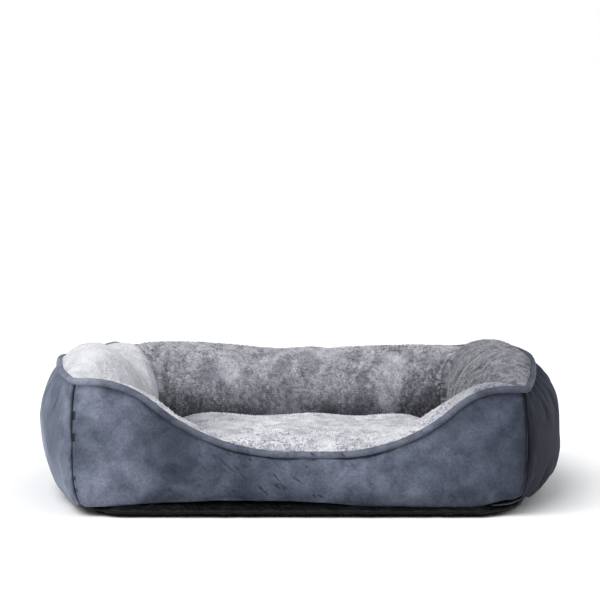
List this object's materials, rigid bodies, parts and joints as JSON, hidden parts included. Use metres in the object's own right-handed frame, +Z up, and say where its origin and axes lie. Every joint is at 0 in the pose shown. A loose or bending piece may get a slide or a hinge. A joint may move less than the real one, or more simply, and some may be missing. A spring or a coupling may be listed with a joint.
{
  "type": "pet bed",
  "caption": "Rectangular bolstered pet bed with a low scooped front wall, piped rim, plush lining, non-slip base and a loose inner cushion.",
  "frame": {"origin": "on the floor, under the middle of the bed's overall width and depth", "axes": "+X along the long side, to the right as seen from the front; +Y from the low front wall to the back wall; +Z up"},
  "size_m": [0.762, 0.61, 0.203],
  "materials": {
    "outer_velvet": "short-pile blue-grey velvet",
    "plush_lining": "long-pile pale grey plush",
    "fibre_fill": "loose polyester fibre",
    "piping_velvet": "velvet wrapped round a cord",
    "cord_core": "spun cotton filler cord",
    "base_fabric": "black coated non-slip fabric, slightly glossy",
    "wadding": "polyester wadding sheet",
    "floor_fabric": "plain woven polyester",
    "cushion_plush": "long-pile pale grey plush",
    "cushion_base_fabric": "plain woven polyester",
    "cushion_filling": "loose polyester fibre"
  },
  "bodies": {
    "bed": {"front_outer_panel": "outer_velvet", "front_lining": "plush_lining", "front_bolster_fill": "fibre_fill", "back_outer_panel": "outer_velvet", "back_lining": "plush_lining", "back_bolster_fill": "fibre_fill", "left_outer_panel": "outer_velvet", "left_lining": "plush_lining", "left_bolster_fill": "fibre_fill", "right_outer_panel": "outer_velvet", "right_lining": "plush_lining", "right_bolster_fill": "fibre_fill", "piping_cover": "piping_velvet", "piping_cord": "cord_core", "base_panel": "base_fabric", "base_pad": "wadding", "floor_panel": "floor_fabric"},
    "cushion": {"cushion_top_panel": "cushion_plush", "cushion_bottom_panel": "cushion_base_fabric", "cushion_fill": "cushion_filling"}
  },
  "joints": [
    {"name": "cushion_lift", "type": "slide", "parent": "bed", "child": "cushion", "axis": [0, 0, 1], "range_m": [0, 0.25]}
  ]
}
